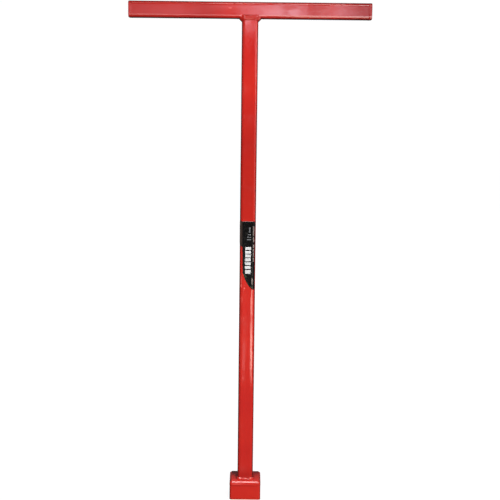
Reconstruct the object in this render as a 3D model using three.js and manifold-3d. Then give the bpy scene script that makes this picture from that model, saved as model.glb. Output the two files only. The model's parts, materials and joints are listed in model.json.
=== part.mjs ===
// T-handled post driver, welded from square steel tube and painted.
// Millimetres, +Z up the shaft, the cross handle along X, the front face towards -Y.
// Origin: centre of the open bottom rim of the socket.

import * as THREE from "three";
import Module from "manifold-3d";
import { mergeVertices } from "three/addons/utils/BufferGeometryUtils.js";

const { degToRad, lerp } = THREE.MathUtils;

// ---------------------------------------------------------------- dimensions
const OVERALL_HEIGHT = 790;

// Tube of the handle and shaft
const TUBE = 25; // outside width
const TUBE_WALL = 2.5;
const TUBE_R = 2 * TUBE_WALL; // outside corner radius
const TUBE_R_IN = TUBE_R - TUBE_WALL;
const TUBE_SEGS = 6; // facets per corner
const TUBE_FLAT = TUBE / 2 - TUBE_R; // from the middle of a face to the start of its corner

// Handle ends
const HANDLE_LENGTH = 370; // over both end caps
const CAP_T = 3;
const CAP_EDGE_R = 0.8; // rounding of the cap's outer edge
const CAP_EDGE_SEGS = 4;
const CAP_SEAM = 1.5; // weld between cap and tube
const CAP_SEAM_PROUD = 0.15;
const CAP_SEAM_DEPTH = TUBE_WALL - 0.2;

// Head: socket skirt, seam weld and top plate
const SOCKET = 50; // outside width
const SOCKET_WALL = 3;
const SOCKET_R = 3.5;
const SOCKET_R_IN = 1.2;
const SOCKET_SEGS = 8; // facets per corner
const SOCKET_DEPTH = 24; // skirt below the seam weld
const SEAM_T = 1.2;
const SEAM_PROUD = 0.15;
const SEAM_DEPTH = SOCKET_WALL - 0.3;
const PLATE_T = 5.8;
const BEVEL_H = 2.6; // bevel of the plate's top edge, height
const BEVEL_W = 3.4; // and width
const BEVEL_FOOT_DROP = 0.3; // softened lower shoulder: below the bevel
const BEVEL_FOOT_IN = 0.25; // and in from its foot
const BEVEL_TOP_OUT = 0.45; // softened upper shoulder: out from the bevel's top
const BEVEL_TOP_IN = 0.25; // and in from it
const BEVEL_R_LOSS = 0.75; // corner radius lost per unit of inset

// Fillet welds at the ends of the shaft
const FOOT_LEG = 2.8; // shaft to plate
const TEE_LEG = 4.5; // shaft to handle, left and right
const TEE_BEAD_LEG = 1.2; // shaft to handle, front and back: outwards
const TEE_BEAD_DROP = 2.4; // and down the shaft
const TEE_CORNER_LEG = (TEE_LEG + TEE_BEAD_LEG) / 2.6; // where the runs meet: outwards
const TEE_CORNER_DROP = 3.2; // and down the shaft

// Filler in the groove under the handle's front and back edges
const FILLER_GAP = 0.3; // clearance to the handle's rounded edge
const FILLER_SEGS = 6;
const FILLER_OVERHANG = 1.5; // past each side of the shaft

// Label: a front sheet with a flap wrapped round the left corner
const LABEL_T = 0.25;
const LABEL_TOP = 454.5;
const LABEL_LEFT_END = 373.3; // lower edge of the front sheet at its left side
const LABEL_TIP = 345.5; // and at its right side
const LABEL_CURVE = 2.1; // exponent of the lower edge
const LABEL_STEPS = 14; // across the flat of the front face
const LABEL_RIGHT_FACETS = 3; // facets the sheet turns round the right corner
const FLAP_LOW = 413; // lower edge of the flap beside the front face
const FLAP_RISE = 7; // its rise round the corner
const FLAP_END = 0.8; // where the flap stops, as a share of its last facet

// ------------------------------------------------------------ derived levels
const Z_SEAM = SOCKET_DEPTH;
const Z_PLATE = Z_SEAM + SEAM_T;
const Z_HEAD = Z_PLATE + PLATE_T; // top of the head, foot of the shaft
const Z_HANDLE = OVERALL_HEIGHT - TUBE / 2; // handle axis
const Z_TEE = OVERALL_HEIGHT - TUBE; // underside of the handle, top of the shaft
const HANDLE_TUBE_LENGTH = HANDLE_LENGTH - 2 * (CAP_T + CAP_SEAM);

// Face names with their quarter turns from the front
const SIDES = [["front", 0], ["right", 1], ["back", 2], ["left", 3]];

// ----------------------------------------------------------------- materials
const ROUGHNESS = { tube: 0.22, head: 0.25, fillet: 0.3, cap: 0.3, seam: 0.35 };

function paint(roughness) {
  return new THREE.MeshStandardMaterial({ color: 0xc4302a, roughness, metalness: 0 });
}

function labelBlack() {
  return new THREE.MeshStandardMaterial({ color: 0x141414, roughness: 0.2, metalness: 0 });
}

// ------------------------------------------------------------------ outlines
// An outline point has x and y, and its outward normal nx and ny.
function arcPoint(centreX, centreY, radius, degrees) {
  const nx = Math.cos(degToRad(degrees));
  const ny = Math.sin(degToRad(degrees));
  return { x: centreX + radius * nx, y: centreY + radius * ny, nx, ny };
}

// Rounded square, counter-clockwise, starting on the right side.
function roundedSquare(width, radius, segs) {
  const flat = width / 2 - radius;
  const corners = [[flat, flat], [-flat, flat], [-flat, -flat], [flat, -flat]];
  return corners.flatMap(([x, y], corner) =>
    Array.from({ length: segs + 1 }, (_, i) =>
      arcPoint(x, y, radius, 90 * corner + (90 * i) / segs),
    ),
  );
}

// The front (-Y) side of a rounded square, from mid-corner to mid-corner.
// cornerShare runs from 0 on the flat to 1 at the middle of the corner.
function frontRun(width, radius, segs) {
  const flat = width / 2 - radius;
  const run = [];
  for (let i = segs / 2; i <= segs; i++) {
    const point = arcPoint(-flat, -flat, radius, 180 + (90 * i) / segs);
    run.push({ ...point, cornerShare: 2 * (1 - i / segs) });
  }
  for (let i = 0; i <= segs / 2; i++) {
    const point = arcPoint(flat, -flat, radius, 270 + (90 * i) / segs);
    run.push({ ...point, cornerShare: (2 * i) / segs });
  }
  return run;
}

// The outline point moved out along its normal, at height z.
function offset(point, out, z) {
  return new THREE.Vector3(point.x + point.nx * out, point.y + point.ny * out, z);
}

// Exact quarter turns, so that neighbouring runs meet on shared faces.
function quarterTurn(point, turns) {
  let { x, y } = point;
  for (let i = 0; i < turns; i++) [x, y] = [-y, x];
  return new THREE.Vector3(x, y, point.z);
}

// ------------------------------------------------------------------ geometry
function squareTube({ width, wall, radius, innerRadius, segs, length }) {
  const shape = new THREE.Shape(roundedSquare(width, radius, segs));
  const bore = roundedSquare(width - 2 * wall, innerRadius, segs).reverse();
  shape.holes.push(new THREE.Path(bore));
  return new THREE.ExtrudeGeometry(shape, { depth: length, bevelEnabled: false, steps: 1 });
}

function handleAndShaftTube(length) {
  return squareTube({
    width: TUBE,
    wall: TUBE_WALL,
    radius: TUBE_R,
    innerRadius: TUBE_R_IN,
    segs: TUBE_SEGS,
    length,
  });
}

// A row of closed sections with the same number of points, joined side to side and
// capped at both ends, or closed on itself when ring is true.
function loft(sections, ring = false) {
  const size = sections[0].length;
  const position = sections.flat().flatMap(({ x, y, z }) => [x, y, z]);
  const index = [];
  const spans = ring ? sections.length : sections.length - 1;
  for (let i = 0; i < spans; i++) {
    const near = i * size;
    const far = ((i + 1) % sections.length) * size;
    for (let j = 0; j < size; j++) {
      const k = (j + 1) % size;
      index.push(near + j, far + j, far + k, near + j, far + k, near + k);
    }
  }
  if (!ring) {
    const last = (sections.length - 1) * size;
    for (let j = 1; j < size - 1; j++) {
      index.push(0, j, j + 1);
      index.push(last, last + j + 1, last + j);
    }
  }
  const geometry = new THREE.BufferGeometry();
  geometry.setAttribute("position", new THREE.Float32BufferAttribute(position, 3));
  geometry.setIndex(index);
  return faceOutward(geometry);
}

// Turns the faces over when the enclosed volume is negative.
function faceOutward(geometry) {
  const position = geometry.getAttribute("position");
  const index = geometry.getIndex().array;
  const corners = [0, 1, 2].map(() => new THREE.Vector3());
  const turned = [];
  let volume = 0;
  for (let i = 0; i < index.length; i += 3) {
    corners.forEach((corner, j) => corner.fromBufferAttribute(position, index[i + j]));
    volume += corners[0].dot(corners[1].cross(corners[2]));
    turned.push(index[i], index[i + 2], index[i + 1]);
  }
  if (volume < 0) geometry.setIndex(turned);
  return geometry;
}

// ------------------------------------------------------------- weld profiles
// Profiles are lists of [out, z]: outwards from the surface and along the axis.

// Slightly convex fillet; a negative rise puts it below its starting level.
function filletProfile(leg, rise) {
  return [
    [0, 0],
    [leg, 0],
    [leg * 0.93, rise * 0.22],
    [leg * 0.56, rise * 0.56],
    [leg * 0.22, rise * 0.93],
    [0, rise],
  ];
}

// Strip let into the wall. edge and proud are how far its rims and its middle stand
// out; shoulder is the share of the thickness where it reaches its full height.
function seamProfile({ thickness, depth, edge, proud, shoulder }) {
  return [
    [-depth, 0],
    [edge, 0],
    [proud, thickness * shoulder],
    [proud, thickness * (1 - shoulder)],
    [edge, thickness],
    [-depth, thickness],
  ];
}

// Weld along one side of a tube; profileAt gives the profile at each point of the run.
function weldRun(run, turns, profileAt) {
  return loft(
    run.map((point) =>
      profileAt(point).map(([out, z]) => quarterTurn(offset(point, out, z), turns)),
    ),
  );
}

// ------------------------------------------------------------------- booleans
const wasm = await Module();
wasm.setup();

function toSolid(geometry) {
  const merged = mergeVertices(geometry, 1e-5);
  return new wasm.Manifold(
    new wasm.Mesh({
      numProp: 3,
      vertProperties: new Float32Array(merged.getAttribute("position").array),
      triVerts: new Uint32Array(merged.getIndex().array),
    }),
  );
}

function toGeometry(solid) {
  const mesh = solid.getMesh();
  const geometry = new THREE.BufferGeometry();
  const position = new Float32Array(mesh.vertProperties);
  geometry.setAttribute("position", new THREE.BufferAttribute(position, 3));
  geometry.setIndex(new THREE.BufferAttribute(new Uint32Array(mesh.triVerts), 1));
  return geometry;
}

// ------------------------------------------------------------------- the head
function socketTube() {
  return squareTube({
    width: SOCKET,
    wall: SOCKET_WALL,
    radius: SOCKET_R,
    innerRadius: SOCKET_R_IN,
    segs: SOCKET_SEGS,
    length: SOCKET_DEPTH,
  });
}

// A straight band, then a bevel with softened shoulders up to the flat top.
function topPlate() {
  const slope = BEVEL_H / BEVEL_W;
  // [inset, z]
  const rows = [
    [0, 0],
    [0, PLATE_T - BEVEL_H - BEVEL_FOOT_DROP],
    [BEVEL_FOOT_IN, PLATE_T - BEVEL_H + BEVEL_FOOT_IN * slope],
    [BEVEL_W - BEVEL_TOP_OUT, PLATE_T - BEVEL_TOP_OUT * slope],
    [BEVEL_W + BEVEL_TOP_IN, PLATE_T],
  ];
  return loft(
    rows.map(([inset, z]) => {
      const radius = SOCKET_R - BEVEL_R_LOSS * inset;
      const outline = roundedSquare(SOCKET - 2 * inset, radius, SOCKET_SEGS);
      return outline.map((point) => offset(point, 0, z));
    }),
  );
}

// Strip between skirt and plate, nearly as deep as the socket wall.
function socketSeamWeld(turns) {
  const profile = seamProfile({
    thickness: SEAM_T,
    depth: SEAM_DEPTH,
    edge: SEAM_PROUD * 0.4,
    proud: SEAM_PROUD,
    shoulder: 0.35,
  });
  return weldRun(frontRun(SOCKET, SOCKET_R, SOCKET_SEGS), turns, () => profile);
}

function footWeld(turns) {
  const profile = filletProfile(FOOT_LEG, FOOT_LEG);
  return weldRun(frontRun(TUBE, TUBE_R, TUBE_SEGS), turns, () => profile);
}

// ------------------------------------------------------------------ the label
// A column is an outline point of the shaft with low, the height of the lower edge.
function label() {
  const facet = Math.PI / 2 / TUBE_SEGS;
  // distance round the tube from the front's middle to a number of facets past the flat
  const distanceAt = (facets) => TUBE_FLAT + facets * facet * TUBE_R;
  const right = distanceAt(LABEL_RIGHT_FACETS);
  // lower edge of the front sheet: steep at the left, flat at the tip
  const lowerEdge = (distance) => {
    const across = (distance + TUBE_FLAT) / (right + TUBE_FLAT);
    return LABEL_TIP + (LABEL_LEFT_END - LABEL_TIP) * Math.pow(1 - across, LABEL_CURVE);
  };
  // column on the left (-1) or right (1) corner, some facets away from the front face
  const onCorner = (side, facets, low) => {
    const nx = side * Math.sin(facets * facet);
    const ny = -Math.cos(facets * facet);
    return { x: side * TUBE_FLAT + TUBE_R * nx, y: -TUBE_FLAT + TUBE_R * ny, nx, ny, low };
  };

  const columns = [];
  for (let k = TUBE_SEGS; k >= 1; k--) {
    columns.push(onCorner(-1, k, FLAP_LOW + (FLAP_RISE * k) / TUBE_SEGS));
  }
  // the flap ends just short of the front face
  const from = onCorner(-1, 1, FLAP_LOW);
  const to = onCorner(-1, 0, FLAP_LOW);
  const flapEnd = Object.keys(from).map((key) => [key, lerp(from[key], to[key], FLAP_END)]);
  columns.push(Object.fromEntries(flapEnd));
  for (let i = 0; i <= LABEL_STEPS; i++) {
    const x = -TUBE_FLAT + (2 * TUBE_FLAT * i) / LABEL_STEPS;
    columns.push({ x, y: -TUBE / 2, nx: 0, ny: -1, low: lowerEdge(x) });
  }
  for (let k = 1; k <= LABEL_RIGHT_FACETS; k++) {
    columns.push(onCorner(1, k, lowerEdge(distanceAt(k))));
  }

  return loft(
    columns.map((column) => [
      offset(column, 0, column.low),
      offset(column, LABEL_T, column.low),
      offset(column, LABEL_T, LABEL_TOP),
      offset(column, 0, LABEL_TOP),
    ]),
  );
}

// ----------------------------------------------------------------- the handle
function handleTube() {
  return handleAndShaftTube(HANDLE_TUBE_LENGTH)
    .translate(0, 0, -HANDLE_TUBE_LENGTH / 2)
    .rotateY(Math.PI / 2);
}

// Lays a point at the handle's left (-1) or right (1) end; its z counts outwards
// from the end of the tube.
function atHandleEnd({ x, y, z }, side) {
  return new THREE.Vector3(side * (HANDLE_TUBE_LENGTH / 2 + z), x, y);
}

// Ring between the tube's end and the cap.
function endCapWeld(side) {
  const profile = seamProfile({
    thickness: CAP_SEAM,
    depth: CAP_SEAM_DEPTH,
    edge: 0,
    proud: CAP_SEAM_PROUD,
    shoulder: 0.3,
  });
  const sections = roundedSquare(TUBE, TUBE_R, TUBE_SEGS).map((point) =>
    profile.map(([out, z]) => atHandleEnd(offset(point, out, z), side)),
  );
  return loft(sections, true);
}

// Plate with a small rounding of its outer edge.
function endCap(side) {
  const rows = [[0, 0]]; // [inset, distance out from the weld]
  for (let i = 0; i <= CAP_EDGE_SEGS; i++) {
    const angle = degToRad((90 * i) / CAP_EDGE_SEGS);
    const inset = CAP_EDGE_R * (1 - Math.cos(angle));
    rows.push([inset, CAP_T - CAP_EDGE_R * (1 - Math.sin(angle))]);
  }
  return loft(
    rows.map(([inset, out]) =>
      roundedSquare(TUBE - 2 * inset, TUBE_R - inset, TUBE_SEGS).map((point) =>
        atHandleEnd(offset(point, 0, CAP_SEAM + out), side),
      ),
    ),
  );
}

// -------------------------------------------------------------- the tee welds
// Fillet under the handle, blending to a shared size where neighbouring runs meet.
function teeFillet(turns, leg, drop) {
  return weldRun(frontRun(TUBE, TUBE_R, TUBE_SEGS), turns, ({ cornerShare }) =>
    filletProfile(
      lerp(leg, TEE_CORNER_LEG, cornerShare),
      -lerp(drop, TEE_CORNER_DROP, cornerShare),
    ),
  );
}

// Filler along X in the groove under the handle's front (-1) or back (1) edge.
function grooveFiller(side) {
  const radius = TUBE_R + FILLER_GAP;
  const reach = Math.sqrt(radius ** 2 - TUBE_R ** 2);
  const start = Math.asin(reach / radius);
  // [distance from the shaft's axis, z above the handle's underside]
  const profile = [[TUBE_FLAT + reach, 0]];
  for (let i = 1; i <= FILLER_SEGS; i++) {
    const angle = start + ((Math.PI / 2 - start) * i) / FILLER_SEGS;
    profile.push([TUBE_FLAT + radius * Math.sin(angle), TUBE_R - radius * Math.cos(angle)]);
  }
  profile.push(
    [TUBE / 2 + FILLER_GAP, TUBE_R + 0.7],
    [TUBE / 2 + 0.75, TUBE_R + 0.2],
    [TUBE / 2 + 1.05, 1.6],
    [TUBE / 2 + TEE_BEAD_LEG, 0],
  );
  const halfLength = TUBE / 2 + FILLER_OVERHANG;
  return loft(
    [-halfLength, halfLength].map((x) =>
      profile.map(([y, z]) => new THREE.Vector3(x, side * y, z)),
    ),
  );
}

function teeWeld(name, turns) {
  if (name === "left" || name === "right") return teeFillet(turns, TEE_LEG, TEE_LEG);
  const filler = toSolid(grooveFiller(name === "front" ? -1 : 1));
  return toGeometry(filler.add(toSolid(teeFillet(turns, TEE_BEAD_LEG, TEE_BEAD_DROP))));
}

// ------------------------------------------------------------------ assembly
function add(parent, name, geometry, material, z = 0) {
  geometry.computeVertexNormals();
  const mesh = new THREE.Mesh(geometry, material);
  mesh.name = name;
  mesh.position.z = z;
  parent.add(mesh);
}

const driver = new THREE.Group();
driver.name = "post_driver";

const head = new THREE.Group();
driver.add(head);
add(head, "socket_tube", socketTube(), paint(ROUGHNESS.head));
add(head, "socket_top_plate", topPlate(), paint(ROUGHNESS.head), Z_PLATE);
for (const [name, turns] of SIDES) {
  const weld = socketSeamWeld(turns);
  add(head, `socket_seam_weld_${name}`, weld, paint(ROUGHNESS.seam), Z_SEAM);
}
for (const [name, turns] of SIDES) {
  add(head, `foot_weld_${name}`, footWeld(turns), paint(ROUGHNESS.fillet), Z_HEAD);
}

add(driver, "shaft_tube", handleAndShaftTube(Z_TEE - Z_HEAD), paint(ROUGHNESS.tube), Z_HEAD);
add(driver, "label", label(), labelBlack());

const handle = new THREE.Group();
handle.position.z = Z_HANDLE;
driver.add(handle);
add(handle, "handle_tube", handleTube(), paint(ROUGHNESS.tube));
for (const [name, side] of [["left", -1], ["right", 1]]) {
  add(handle, `end_cap_weld_${name}`, endCapWeld(side), paint(ROUGHNESS.seam));
  add(handle, `handle_end_cap_${name}`, endCap(side), paint(ROUGHNESS.cap));
}

for (const [name, turns] of SIDES) {
  add(driver, `handle_weld_${name}`, teeWeld(name, turns), paint(ROUGHNESS.fillet), Z_TEE);
}

export default driver;
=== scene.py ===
"""Red-enamelled steel T-handled tool with a square socket head.

The shaft is a square tube standing along +Z on a wider square head, which is open towards the floor.
The handle is a square tube along X, closed by end caps, across the top of the shaft. The front
is -Y, right is +X, and a black label is stuck to the front of the shaft. Units are metres.
"""

import json
import math

import bmesh
import bpy
import numpy as np
from mathutils import Matrix, Vector


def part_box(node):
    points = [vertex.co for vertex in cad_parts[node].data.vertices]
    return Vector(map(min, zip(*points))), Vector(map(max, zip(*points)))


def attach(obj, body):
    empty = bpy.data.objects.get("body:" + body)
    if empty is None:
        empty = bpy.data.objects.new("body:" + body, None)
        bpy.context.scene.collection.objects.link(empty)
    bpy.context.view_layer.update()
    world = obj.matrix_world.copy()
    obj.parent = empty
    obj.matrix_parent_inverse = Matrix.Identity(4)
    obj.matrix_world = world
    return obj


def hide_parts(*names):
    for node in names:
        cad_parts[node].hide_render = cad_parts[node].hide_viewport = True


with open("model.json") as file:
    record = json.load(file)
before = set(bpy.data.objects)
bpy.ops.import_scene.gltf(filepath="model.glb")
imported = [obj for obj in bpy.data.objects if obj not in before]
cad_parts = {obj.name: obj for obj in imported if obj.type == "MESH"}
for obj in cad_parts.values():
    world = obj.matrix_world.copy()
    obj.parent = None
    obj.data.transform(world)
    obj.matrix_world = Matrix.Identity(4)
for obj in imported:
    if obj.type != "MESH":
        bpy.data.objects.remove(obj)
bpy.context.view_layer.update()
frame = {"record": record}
root_col = bpy.context.scene.collection

# --------------------------------------------------------------------------
# driving sizes, read from the CAD pieces where they exist there
# --------------------------------------------------------------------------
MM = 0.001
QUARTER_TURN = math.pi / 2
shaft_lo, shaft_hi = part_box("shaft_tube")
handle_lo, handle_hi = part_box("handle_tube")
socket_lo, socket_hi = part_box("socket_tube")
plate_lo, plate_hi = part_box("socket_top_plate")
label_lo, label_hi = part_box("label")
cap_left_lo, cap_left_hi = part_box("handle_end_cap_left")
cap_right_lo, cap_right_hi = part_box("handle_end_cap_right")

TUBE = shaft_hi.x - shaft_lo.x  # side of the shaft's and handle's section
WALL = 2.5 * MM
R_OUT = 5.0 * MM
R_IN = 2.5 * MM
HALF_FLAT = TUBE / 2 - R_OUT
HEAD = socket_hi.x - socket_lo.x  # side of the head
HEAD_WALL = 3.0 * MM
HEAD_R = 3.5 * MM
HEAD_R_IN = 1.2 * MM
Z_HEAD = plate_hi.z  # top of the head
Z_TEE = handle_lo.z  # underside of the handle
Z_AXIS = (handle_lo.z + handle_hi.z) / 2
CORNER_STEPS = 12

# unevenness of the shaft's faces, which the label follows
SHAFT_DISH = 0.13 * MM
SHAFT_WAVE = 0.05 * MM
SHAFT_SEED = 11

# --------------------------------------------------------------------------
# repeatable value noise
# --------------------------------------------------------------------------


def cell_hash(ix, iy, iz, seed):
    h = (
        ix.astype(np.int64) * 374761393
        + iy.astype(np.int64) * 668265263
        + iz.astype(np.int64) * 1274126177
        + seed * 974634777
    ) & 0xFFFFFFFF
    h = ((h ^ (h >> 13)) * 1103515245) & 0xFFFFFFFF
    h = ((h ^ (h >> 15)) * 2654435) & 0xFFFFFFFF
    return ((h ^ (h >> 16)) & 0xFFFF) / 65535.0


def noise3(points, size, seed):
    """Smooth noise in -1..1 at points (..., 3), with features about size metres across."""
    scaled = np.asarray(points, float) / size
    cell = np.floor(scaled).astype(np.int64)
    f = scaled - cell
    f = f * f * (3 - 2 * f)
    out = 0.0
    for dx in (0, 1):
        wx = f[..., 0] if dx else 1 - f[..., 0]
        for dy in (0, 1):
            wy = f[..., 1] if dy else 1 - f[..., 1]
            for dz in (0, 1):
                wz = f[..., 2] if dz else 1 - f[..., 2]
                out = out + wx * wy * wz * cell_hash(
                    cell[..., 0] + dx, cell[..., 1] + dy, cell[..., 2] + dz, seed
                )
    return out * 2 - 1


def noise1(s, size, seed):
    """The same noise along a line."""
    zero = np.zeros_like(s)
    return noise3(np.stack([s, zero + 0.37 * size, zero + 0.61 * size], -1), size, seed)


# --------------------------------------------------------------------------
# mesh helpers
# --------------------------------------------------------------------------


def make_object(name, verts, faces, attrs=None, solid=True):
    """Mesh object with float attributes per vertex. A solid is smooth, with normals turned outwards."""
    mesh = bpy.data.meshes.new(name)
    mesh.from_pydata([tuple(map(float, v)) for v in verts], [], faces)
    mesh.validate()
    for key, values in (attrs or {}).items():
        layer = mesh.attributes.new(key, "FLOAT", "POINT")
        layer.data.foreach_set("value", np.asarray(values, np.float32))
    if solid:
        bm = bmesh.new()
        bm.from_mesh(mesh)
        bmesh.ops.recalc_face_normals(bm, faces=bm.faces[:])
        bm.to_mesh(mesh)
        bm.free()
        mesh.polygons.foreach_set("use_smooth", [True] * len(mesh.polygons))
    mesh.update()
    ob = bpy.data.objects.new(name, mesh)
    root_col.objects.link(ob)
    return ob


def plain_attrs(count, tone=1.0):
    """Paint attributes of a piece with no worn edges, no bore and one brightness."""
    # tone is painted light or shade: one brightness painted into the colour
    return {"edge": np.zeros(count), "inside": np.zeros(count), "tone": np.full(count, tone)}


def grid_faces(nu, nv, close_u):
    """Quads of a lattice that is always closed along v."""
    faces = []
    for i in range(nu if close_u else nu - 1):
        a = i * nv
        b = ((i + 1) % nu) * nv
        for j in range(nv):
            k = (j + 1) % nv
            faces.append((a + j, b + j, b + k, a + k))
    return faces


def rounded_square(side, r, flat_steps):
    """Rounded square, counter-clockwise from the start of the flat at +u.

    Returns points, normals, the position across the flat (-1..1, and 2 on a corner) and the
    side number: 0 at +u, 1 at +v, 2 at -u, 3 at -v. A corner counts with the side before it."""
    half_flat = side / 2 - r
    points, normals, across, sides = [], [], [], []
    flat = np.concatenate([[-1.0], np.linspace(-0.93, 0.93, flat_steps - 1), [1.0]])
    for k in range(4):
        turn = k * QUARTER_TURN
        ca, sa = round(math.cos(turn)), round(math.sin(turn))
        for t in flat:
            x, y = side / 2, t * half_flat
            points.append((x * ca - y * sa, x * sa + y * ca))
            normals.append((ca, sa))
            across.append(t)
            sides.append(k)
        for i in range(1, CORNER_STEPS):
            a = (i / CORNER_STEPS) * QUARTER_TURN
            x, y = half_flat + r * math.cos(a), half_flat + r * math.sin(a)
            points.append((x * ca - y * sa, x * sa + y * ca))
            normals.append((math.cos(a + turn), math.sin(a + turn)))
            across.append(2.0)
            sides.append(k)
    return np.array(points), np.array(normals), np.array(across), np.array(sides)


def face_dish(across, depth):
    """Cold-formed tube faces dish slightly between raised shoulders."""
    inside = np.abs(across) <= 1
    return -depth * np.where(inside, (1 - np.clip(across, -1, 1) ** 2) ** 1.6, 0.0)


def face_wave(points, wave, seed):
    """Slow unevenness of a tube face, drawn out along the tube."""
    broad = noise3(points * [1, 1, 0.35], 26 * MM, seed)
    return wave * (0.7 * broad + 0.3 * noise3(points, 9 * MM, seed + 5))


# --------------------------------------------------------------------------
# tubes
# --------------------------------------------------------------------------


def wall_line(a0, a1, wall, lip, step, inner_step):
    """Closed line round the tube wall: outside, far lip, bore, near lip.

    Rows are (share of the way in through the wall, station, weight of the outer unevenness)."""
    near = [0.0, 0.25 * MM, 0.7 * MM, 1.6 * MM]
    mids = np.linspace(a0 + lip + 3 * MM, a1 - lip - 3 * MM, max(2, int((a1 - a0) / step)))
    outer = [a0 + lip + x for x in near] + list(mids) + [a1 - lip - x for x in reversed(near)]
    bore = np.linspace(a1 - lip, a0 + lip, max(2, int((a1 - a0) / inner_step)))
    turns = [i / 4 * QUARTER_TURN for i in range(1, 5)]
    rounding = [(lip / wall * (1 - math.cos(a)), lip * math.sin(a)) for a in turns]
    line = [(0.0, a, 1.0) for a in outer]
    line += [(t, a1 - lip + rise, 1.0) for t, rise in rounding]
    line += [(0.5, a1, 0.5)]
    line += [(1 - t, a1 - lip + rise, 0.0) for t, rise in reversed(rounding)]
    line += [(1.0, a, 0.0) for a in bore]
    line += [(1 - t, a0 + lip - rise, 0.0) for t, rise in rounding]
    line += [(0.5, a0, 0.5)]
    line += [(t, a0 + lip - rise, 1.0) for t, rise in reversed(rounding)]
    return line


def shoulder_drop(across, normals, sides, station, side, start, end, depth):
    """Depth by which a corner's rounding runs out into the face, between two stations."""
    ramp = 16 * MM
    fade = min(max((station - start) / ramp, 0), 1) * min(max((end - station) / ramp, 0), 1)
    run = np.clip((np.clip(across, -1, 1) - 0.5) / 0.5, 0, 1) ** 2 * (np.abs(across) <= 1)
    ca, sa = math.cos(side * QUARTER_TURN), math.sin(side * QUARTER_TURN)
    out = normals[:, 0] * ca + normals[:, 1] * sa
    along = -normals[:, 0] * sa + normals[:, 1] * ca
    lean = np.abs(np.arctan2(out, along) - QUARTER_TURN)
    run = np.where(across > 1.5, (1 - np.clip(lean / QUARTER_TURN, 0, 1)) ** 2, run)
    return np.where(sides == side, depth * fade * run, 0)


def tube_object(
    name, a0, a1, place, tone, seed, seam_side, dish, wave, side=TUBE, wall=WALL, r=R_OUT,
    r_in=R_IN, step=4 * MM, inner_step=30 * MM, lip=0.35 * MM, flat_steps=14, rim=0.0,
    dents=(), shoulder=None, wear_low=0.0, deep_side=-1,
):
    """Square tube with rounded corners, rounded saw-cut ends, an open bore and uneven faces.

    place(u, v, a) turns section points (u, v) at stations a into the frame. tone is a pair of
    arrays, stations and brightness. deep_side is the side left to darken at glancing angles."""
    # tone is painted light and shade: a brightness painted into the colour along the tube
    points, normals, across, sides = rounded_square(side, r, flat_steps)
    inner_points = rounded_square(side - 2 * wall, r_in, flat_steps)[0]
    line = wall_line(a0, a1, wall, lip, step, inner_step)
    count, rows = len(points), len(line)
    on_flat = np.abs(across) <= 1
    strip = (sides == seam_side) & (np.abs(across) < 0.16)
    corner = np.where(across > 1.5, 1.0, np.clip((np.abs(across) - 0.9) / 0.1, 0, 1) * 0.5)
    verts = np.zeros((count, rows, 3))
    edge = np.zeros((count, rows))
    for j, (t, a, weight) in enumerate(line):
        base = points * (1 - t) + inner_points * t
        outer = np.column_stack([points, np.full(count, a)])
        d = face_dish(across, dish) + face_wave(outer, wave, seed)
        # tube seam: a narrow flat strip along one face
        d = d - 0.035 * MM * strip
        for dent_side, dent_across, dent_a, dent_r, depth in dents:
            hit = (sides == dent_side) & on_flat
            dist2 = ((across - dent_across) * (side / 2 - r)) ** 2 + (a - dent_a) ** 2
            d = d - np.where(hit, depth * np.exp(-dist2 / (dent_r * dent_r)), 0)
        if shoulder:
            d = d - shoulder_drop(across, normals, sides, a, *shoulder)
        pos = base + normals * (weight * d)[:, None]
        stations = np.full(count, a)
        if rim and t > 0 and a < a0 + lip:
            # the saw cut at the low end isn't perfectly square
            round_arc = np.arctan2(points[:, 1], points[:, 0]) * 10 * MM
            stations = stations + rim * (0.5 + 0.5 * noise1(round_arc, 6 * MM, seed + 9))
        verts[:, j, :] = place(pos[:, 0], pos[:, 1], stations)
        at_end = math.exp(-((min(a - a0, a1 - a) / (1.2 * MM)) ** 2))
        edge[:, j] = np.maximum(corner * 0.35 * (weight > 0), at_end)
        edge[:, j] += wear_low * math.exp(-(((a - a0) / (2.2 * MM)) ** 2))
    shares, stations, _ = np.array(line).T
    attrs = {
        "edge": edge.ravel(),
        "inside": np.tile(shares > 0.75, count),
        "tone": np.tile(np.interp(stations, *tone), count),
        # keep holds off the painted glancing shade; deep_side is left to take all of it
        "keep": np.repeat(np.where(on_flat & (sides != deep_side), 0.9, 0.0), rows),
    }
    return make_object(name, verts.reshape(-1, 3), grid_faces(count, rows, True), attrs)


def upright(u, v, a):
    """Section in (x, y), stations up z."""
    return np.column_stack([u, v, a])


def lying(u, v, a):
    """Section in (y, z) about the handle's axis, stations along x."""
    return np.column_stack([a, u, v + Z_AXIS])


pieces = {}

# Dents are (side, position across the flat, station, radius, depth).
# Tones are painted light and shade: a brightness painted at stations along the tube.
pieces["shaft_tube"] = tube_object(
    "shaft", shaft_lo.z, shaft_hi.z, upright,
    dish=SHAFT_DISH, wave=SHAFT_WAVE, seed=SHAFT_SEED, seam_side=1,
    dents=(
        (3, 0.35, 0.300, 5 * MM, 0.16 * MM), (3, -0.4, 0.205, 7 * MM, 0.12 * MM),
        (0, 0.1, 0.520, 6 * MM, 0.14 * MM), (2, -0.2, 0.430, 8 * MM, 0.15 * MM),
        (3, 0.2, 0.590, 9 * MM, 0.08 * MM), (1, 0.3, 0.150, 5 * MM, 0.14 * MM),
    ),
    shoulder=(3, 0.190, 0.352, 0.22 * MM),  # side, from, to, depth
    tone=(
        [0.031, 0.040, 0.052, 0.12, 0.19, 0.25, 0.32, 0.40, 0.50, 0.58, 0.66, 0.72, 0.77],
        [0.74, 0.84, 1.04, 1.08, 1.11, 1.15, 1.15, 1.08, 0.90, 0.89, 1.12, 1.14, 1.08],
    ),
)
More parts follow.
